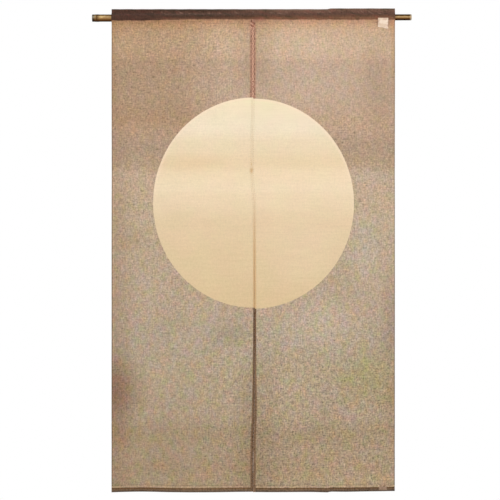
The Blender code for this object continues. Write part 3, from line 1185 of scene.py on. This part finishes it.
def plain_weave(graph):
    """The height of a plain weave from 0 to 1, with threads that wander and vary."""
    warp = (graph.x / THREAD_PITCH + graph.noise(0.006, 1.0, 0.030) * THREAD_WANDER).wave(2.0)
    weft = (graph.z / THREAD_PITCH + graph.noise(0.030, 1.0, 0.006) * THREAD_WANDER).wave(2.0)
    over = warp * weft
    return graph.math("MAXIMUM", abs(warp) + over, abs(weft) - over) * 0.5


def slubs(graph):
    """Uneven yarns: short streaks across and down, and dark nubs, about 0 on average."""
    across = graph.noise(0.0160, 1.0, 0.0040)
    down = graph.noise(0.0040, 1.0, 0.0160)
    grain = graph.noise(0.0052, 1.0, 0.0052, roughness=0.6) * 1.6
    nubs = graph.noise(0.0075, 1.0, 0.0075, detail=1.0).step(0.42, 0.28, 0.0, -0.20)
    return across + down + grain + nubs - 1.78


def ground_colour(graph):
    """The dyed ground: bands with painted crease shade, a browner left side of the head, and soft
    patches of tone and painted light and shade.
    """
    left_head = graph.x.step(-0.06, -0.26) * graph.z.step(-0.40, -0.30)
    colour = drop_ramp(graph, CLOTH_AND_CREASE_SHADE_TONES).tinted(left_head, LEFT_HEAD_TINT)
    return with_patches(graph, colour, CLOTH_TONE_AND_SHADE_PATCHES)


def mottled(graph, colour):
    """Blotches of pinkish, greenish, greyish and tan yarn, stronger in the lower half."""
    strength = graph.z.step(-0.25, -1.05, 0.55, 1.0)
    for lengths, low, high in MOTTLES:
        blotches = graph.noise(*lengths, detail=3.0, roughness=0.6)
        colour = colour.tinted(strength, blotches.ramp([(0.34, low), (0.50, 1.0), (0.66, high)]))
    return colour


def with_rims(graph, colour):
    """The narrow outer hems: a lighter line, and outside it a dark one that is darker near the foot."""
    out = abs(graph.x)
    colour = colour.tinted(out.step(0.424, 0.431) * graph.z.step(-0.36, -0.12), (0.98, 0.92, 0.84))
    colour = colour.tinted(out.near(0.4345, 0.0030) * graph.z.step(-0.30, -0.60), (1.16, 1.14, 1.13))
    edge = out.step(0.4362, 0.4385) * graph.z.step(-0.45, -1.05, 0.50, 0.85)
    return colour.mixed(edge, paint(112, 90, 68))


def with_pocket(graph, colour):
    """The rod pocket: brown painted shade where its several layers round the cane hold back the light
    from behind, lighter to the right.
    """
    level = evened_height(graph)
    share = (level - POCKET_FOOT) / POCKET_TALL
    rows = [((height - POCKET_FOOT) / POCKET_TALL, left, right) for height, left, right in POCKET_SHADE_TONES]
    tone = tone_ramp(share, [(place, left) for place, left, _ in rows])
    tone = tone.mixed(graph.x.step(-0.24, -0.34), paint(82, 54, 42))
    right_tone = tone_ramp(share, [(place, right) for place, _, right in rows])
    tone = tone.mixed(graph.x.step(-0.14, 0.06), right_tone)
    olive = graph.noise(0.045, 0.05, 0.014, turned=-0.35)
    tone = tone.tinted(olive.step(0.50, 0.66), (0.72, 0.80, 0.74))
    red = graph.noise(0.026, 0.05, 0.010, turned=-0.40)
    tone = tone.tinted(red.step(0.50, 0.66), (1.16, 0.98, 1.00))
    tone = with_spots(graph, tone, POCKET_SPOTS)
    # Painted highlights on the slanting wrinkles over the cane, fainter at the left
    streaks = graph.noise(0.030, 0.05, 0.0075, turned=-0.50).step(0.54, 0.68)
    highlight_crest = graph.x.step(-0.36, -0.25, 0.15, 0.65) * level.near(0.0140, 0.0090)
    tone = tone.mixed(streaks * highlight_crest, paint(152, 116, 100))
    sag = graph.x.step(-0.18, -0.36, 0.0, 0.0030)
    edge = graph.z + sag + graph.noise(0.020) * 0.004 - 0.002
    return colour.mixed(edge.step(-0.0090, -0.0058), tone)


def with_foot(graph, colour):
    """The foot hem: a redder line between two darker ones, a pinkish painted highlight on the ridge
    above it, and painted shade along its stitches.
    """
    level = evened_height(graph) + FOOT_DROP
    tone = tone_ramp(level / FOOT_HEM, FOOT_TONES)
    tone = tone.tinted(graph.x.step(-0.18, -0.32), (0.86, 0.80, 0.75))
    tone = tone.tinted(graph.x.step(0.12, 0.22), (0.82, 0.79, 0.78))
    # Painted highlight on the ridge above the hem
    colour = colour.mixed(level.near(0.0168, 0.0036) * 0.60, paint(198, 164, 134))
    # Painted shade along the hem's row of stitches
    colour = colour.tinted(level.near(FOOT_ROW, 0.0036), (0.91, 0.90, 0.89))
    colour = with_spots(graph, colour, LABEL_SHADOWS)
    return colour.mixed(level.step(FOOT_HEM + 0.0009, FOOT_HEM - 0.0009), tone)


def stitch_holes(graph):
    """1 where the lacing turns back into the cloth, on either side of the slit line by turns."""
    sway = ((graph.z + LACING_FROM) / -LACING_PITCH).wave(1.0)
    side = slit_offset(graph).step(-0.0006, 0.0006, -1.0, 1.0)
    return (sway * side).step(-0.2, 0.7)


def with_slit_hems(graph, colour):
    """The hems along the slit: reddish with dark stitch holes at the seam, brown below the disc, and
    painted light where they part.
    """
    distance = abs(slit_offset(graph))
    seam = graph.z.step(-0.62, -0.30)
    below_pocket = graph.z.step(-0.0060, -0.0100)
    sewn = seam * below_pocket
    ends = graph.z.step(-0.26, -0.18) + graph.z.step(-1.02, -1.12)
    colour = colour.tinted(distance.step(0.090, 0.015) * ends, (0.89, 0.88, 0.86))
    narrow = graph.z.step(-0.92, -1.32, 0.0010, -0.0028)
    frayed = graph.noise(0.006, 0.006, 0.009) * seam * 0.0036
    away = distance + narrow + frayed + seam * -0.0060
    colour = colour.tinted(away.step(0.0100, 0.0050) * sewn, (0.97, 0.90, 0.87))
    brown = graph.mix(graph.z.step(-0.97, -1.08), paint(122, 91, 65), paint(134, 105, 79))
    edge = brown.mixed(seam, paint(184, 141, 117))
    colour = colour.mixed(away.step(0.0061, 0.0045) * below_pocket, edge)
    holes = distance.near(0.0046, 0.0034) * stitch_holes(graph) * sewn
    colour = colour.mixed(holes * 0.95, paint(98, 60, 46))
    colour = colour.mixed(distance.step(0.0026, 0.0014) * sewn, paint(186, 136, 114))
    # Painted light from behind where the slit's edges part above the foot
    gap_glow = graph.z.step(-1.344, -1.352) * graph.z.step(-1.414, -1.406)
    colour = colour.mixed(distance.step(0.0030, 0.0020) * gap_glow, paint(158, 134, 114))
    return with_spots(graph, colour, SEAM_KNOTS)


def moon_colour(graph, distance):
    """The undyed disc: cream at its top, tan at its foot, with painted crease shade, a light upper rim,
    and painted shadow along its slit line.
    """
    colour = drop_ramp(graph, MOON_AND_CREASE_SHADE_TONES)
    streaks = ((0.30, (0.982, 0.980, 0.972)), (0.70, (1.015, 1.018, 1.02)))
    colour = colour.tinted(1.0, graph.noise(0.090, 0.090, 0.007).ramp(streaks))
    greens = ((0.35, (1.01, 0.992, 0.995)), (0.65, (0.993, 1.007, 0.982)))
    colour = colour.tinted(1.0, graph.noise(0.060).ramp(greens))
    colour = with_patches(graph, colour, MOON_SHADE_AND_TINT_PATCHES)
    rim = distance.step(0.968, 0.992) * graph.z.step(-0.62, -0.42, 0.0, 0.45)
    colour = colour.mixed(rim, paint(255, 230, 204))
    # Painted shadow in the closed slit between the two panels, stronger down the disc
    slit = abs(slit_offset(graph)).step(0.0058, 0.0028) * graph.z.step(-0.54, -0.76, 0.04, 0.46)
    colour = colour.mixed(slit, paint(210, 160, 98))
    return with_spots(graph, colour, MOON_SPOTS)


def cloth_colour(graph, weave, uneven):
    """The dyed ground and the pale disc, with uneven yarns, painted shade between the threads of the
    weave, and darker hems.
    """
    distance = moon_distance(graph)
    moon = distance.step(*MOON_RIM)
    ground = mottled(graph, ground_colour(graph))
    for layer in (with_rims, with_pocket, with_foot, with_slit_hems):
        ground = layer(graph, ground)
    colour = ground.mixed(moon, moon_colour(graph, distance))
    coarse = graph.x.step(-0.25, 0.05) * graph.z.step(-0.85, -1.15, 0.0, 0.30)
    fine = graph.x.step(-0.15, 0.10) * graph.z.step(-0.36, -0.26, 0.0, -0.20)
    speckle = uneven * (moon.step(0.0, 1.0, 0.80, 0.12) + coarse + fine)
    # Painted shade in the hollows between the threads
    weave_hollow_shade = (weave - 0.5) * moon.step(0.0, 1.0, 0.24, 0.07)
    clouds = (graph.noise(0.10, 0.10, 0.13, detail=3.0) - 0.5) * moon.step(0.0, 1.0, 0.20, 0.06)
    return colour.tinted(1.0, speckle + weave_hollow_shade + clouds + 1.0)


def cloth_material():
    """Coarse dyed hemp in plain weave. Some light passes through it."""
    graph = Graph("hemp_weave")
    weave = plain_weave(graph)
    uneven = slubs(graph)
    colour = cloth_colour(graph, weave, uneven)
    normal = graph.bump(weave + uneven * 0.6, 0.00035, 0.8)
    shader = graph.surface(colour, weave.step(0.0, 1.0, 0.97, 0.84), normal, 0.25, 0.05)
    through = graph.value("ShaderNodeBsdfTranslucent", {"Color": colour, "Normal": normal})
    both = {0: TRANSLUCENT_SHARE, 1: shader, 2: through}
    return graph.finish(graph.value("ShaderNodeMixShader", both))


# Other materials


def thread_material(name, colour, disc_colour, twist=0.0011):
    """Twisted yarn with painted shade between its plies, which is pale where it crosses the disc."""
    graph = Graph(name)
    fuzz = graph.noise(0.0016, detail=3.0)
    height = (graph.x + graph.z).wave(twist) + fuzz
    tone = graph.mix(moon_distance(graph).step(*MOON_RIM), paint(*colour), paint(*disc_colour))
    # Painted shade in the grooves between the plies
    tone = tone.tinted(height.step(1.4, -0.6), (0.74, 0.72, 0.70))
    normal = graph.bump(height, 0.00012, 0.7)
    return graph.finish(graph.surface(tone, fuzz.step(0.3, 0.7, 0.78, 0.95), normal, 0.25))


def label_material(name, *colours):
    """A bare woven tape: fine ribs across it, soiled in places and rubbed pale in others."""
    graph = Graph(name)
    colour, shadow, light = (paint(*colour) for colour in colours)
    weave = graph.z.wave(0.00072) * 0.6 + graph.x.wave(0.00058) * 0.4
    soil = graph.noise(0.0110)
    tone = graph.mix(soil.step(0.45, 0.66, 0.0, 0.7), colour, shadow)
    tone = tone.mixed(graph.noise(0.0140, 0.0140, 0.0120).step(0.48, 0.64), light)
    tone = tone.mixed(weave.step(0.2, -1.0, 0.0, 0.22), shadow)
    normal = graph.bump(weave, 0.00012, 0.7)
    return graph.finish(graph.surface(tone, soil.step(0.3, 0.7, 0.80, 0.92), normal, sheen=0.1))


def cane_skin(graph):
    """Gold skin, with painted shade at its top and bottom by how high on the cane a place is, then dark
    smoke stains and painted glints in patches.
    """
    level = (graph.z - axis_height(graph.x)) / taper_radius(graph.x)
    share = level * graph.x.step(-0.30, 0.30, 0.5, 0.8) + graph.x.step(-0.30, 0.30, 0.5, 0.58)
    colour = tone_ramp(share, CANE_LIGHT_AND_SHADE_TONES)
    smoke = graph.noise(0.0130, 0.0060, 0.0060, detail=3.0, roughness=0.6)
    colour = colour.mixed(smoke.step(0.46, 0.30, 0.0, 0.60), paint(66, 40, 16))
    # Painted glints on the lit middle of the cane
    gold_glints = graph.noise(0.0110, 0.0080, 0.0050).step(0.52, 0.68, 0.0, 0.40)
    lit = share.step(0.25, 0.50) * share.step(0.95, 0.80)
    colour = colour.mixed(gold_glints * lit, paint(214, 184, 130))
    return with_patches(graph, colour, CANE_LIGHT_AND_SHADE_PATCHES)


def bamboo_material():
    """Smoked bamboo: glossy skin with fine fibres, dark rings at its nodes, a paler sawn right end, and
    a painted grey-green highlight at its left end.
    """
    graph = Graph("smoked_bamboo_skin")
    fibres = graph.noise(0.060, 0.0005, 0.0005, detail=3.0, roughness=0.6)
    colour = cane_skin(graph).mixed(fibres.step(0.45, 0.75) * 0.30, paint(112, 74, 36))
    for node in NODE_PLACES:
        colour = colour.mixed(graph.x.near(node - NODE_SCAR, 0.0024) * 0.70, paint(58, 36, 18))
    colour = colour.mixed(graph.x.near(0.4800, 0.0030) * 0.45, paint(66, 40, 16))
    colour = colour.mixed(graph.x.step(0.4845, 0.4880) * 0.60, paint(186, 168, 140))
    # Painted grey-green highlight on the left end
    colour = colour.tinted(graph.x.step(-0.4880, -0.4960), (0.58, 0.76, 1.15))
    cloud = graph.noise(0.045, 0.012, 0.012)
    normal = graph.bump(fibres + cloud * 0.4, 0.00010, 0.6)
    return graph.finish(graph.surface(colour, cloud.step(0.3, 0.7, 0.44, 0.60), normal, 0.03))


def floor_material():
    """Plain pale studio floor with a faint unevenness."""
    graph = Graph("studio_floor")
    tone = graph.mix(graph.noise(0.30, detail=3.0), (0.80, 0.79, 0.77, 1.0), (0.84, 0.83, 0.82, 1.0))
    return graph.finish(graph.value("ShaderNodeBsdfPrincipled", {"Base Color": tone, "Roughness": 0.7}))


# Studio


def make_camera():
    data = bpy.data.cameras.new("camera")
    data.sensor_width = SENSOR
    data.lens = SENSOR * CAMERA_AWAY / VIEW_WIDTH
    camera = add_object("camera", data)
    camera.location = (VIEW_MIDDLE[0], -CAMERA_AWAY, VIEW_MIDDLE[1])
    camera.rotation_euler = (math.pi / 2, 0.0, 0.0)
    bpy.context.scene.camera = camera


def make_light(name, light):
    """A square soft light that faces the middle of the curtain."""
    data = bpy.data.lights.new(name, "AREA")
    data.size = light["size"]
    data.energy = light["power"]
    lamp = add_object(name, data)
    lamp.location = light["place"]
    away = [place - middle for place, middle in zip(light["place"], (0.0, 0.0, VIEW_MIDDLE[1]))]
    flat = math.hypot(away[0], away[1])
    lamp.rotation_euler = (math.atan2(flat, away[2]), 0.0, math.atan2(away[0], -away[1]))


def make_floor(material):
    """A pale flat floor below the camera's view."""
    data = bpy.data.meshes.new("floor")
    data.from_pydata([(x, y, FLOOR_LEVEL) for x, y in FLOOR_CORNERS], [], [(0, 1, 2, 3)])
    data.materials.append(material)
    floor = add_object("floor", data)


def light_studio():
    """A plain white surround, as on a backdrop that is lit evenly."""
    scene = bpy.context.scene
    scene.world = bpy.data.worlds.new("white_surround")
    scene.world.use_nodes = True
    background = scene.world.node_tree.nodes["Background"]
    background.inputs["Color"].default_value = (1.0, 1.0, 1.0, 1.0)
    background.inputs["Strength"].default_value = 1.0
    scene.view_settings.view_transform = "Standard"
    make_light("key_light", KEY_LIGHT)
    make_light("fill_light", FILL_LIGHT)


# The whole curtain


def dress_cloth():
    """The panels, and all that is sewn to them."""
    cloth = cloth_material()
    yarn = thread_material("hem_yarn", (132, 106, 84), (214, 186, 148))
    lacing = thread_material("seam_yarn", (230, 184, 158), (250, 236, 206), 0.0016)
    dark_yarn = thread_material("tack_yarn", (150, 97, 77), (236, 206, 162), 0.0016)
    panels = {}
    for name, node, side in (("cloth_left", "panel_left", -1), ("cloth_right", "panel_right", 1)):
        panels[side] = make_panel(name, side, cloth)
        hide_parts(node)
    for name, side in (("stitches_left", -1), ("stitches_right", 1)):
        make_threads(name, stitch_rows(side), HEM_THREAD_RADIUS, yarn)
    head, disc, end = LACING_TURNS
    laces = (
        ("seam_lacing", head, disc, LACING_RADIUS),
        ("disc_lacing", disc, end, FINE_LACING_RADIUS),
    )
    for name, first, last, radius in laces:
        paths = [lacing_path(face, first, last, radius) for face in OUTWARD]
        make_threads(name, paths, radius, lacing)
    tacks = (("bar_tacks", DARK_TACKS, dark_yarn), ("loop_tacks", LIGHT_TACKS, lacing))
    for name, knots, thread in tacks:
        paths = [tack_path(knot, face) for knot in knots for face in OUTWARD]
        make_threads(name, paths, TACK_RADIUS, thread)
    return panels


def dress_labels():
    """Two bare woven labels on the right panel."""
    cream = label_material("label_weave_cream", (212, 188, 162), (190, 152, 136), (228, 208, 186))
    beige = label_material("label_weave_beige", (138, 110, 88), (120, 94, 74), (150, 122, 100))
    thread = thread_material("label_yarn", (214, 196, 168), (214, 196, 168))
    top = make_label("label_top_cloth", TOP_LABEL, cream)
    hem = make_label("label_hem_cloth", HEM_LABEL, beige)
    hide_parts("label_top")
    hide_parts("label_hem")
    paths = label_stitches(TOP_LABEL) + label_stitches(HEM_LABEL)
    make_threads("label_stitches", paths, LABEL_THREAD_RADIUS, thread)
    return top, hem


def main():
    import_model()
    cane = make_cane(bamboo_material())
    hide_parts("rod")
    panels = dress_cloth()
    labels = dress_labels()
    light_studio()
    make_floor(floor_material())
    make_camera()


main()
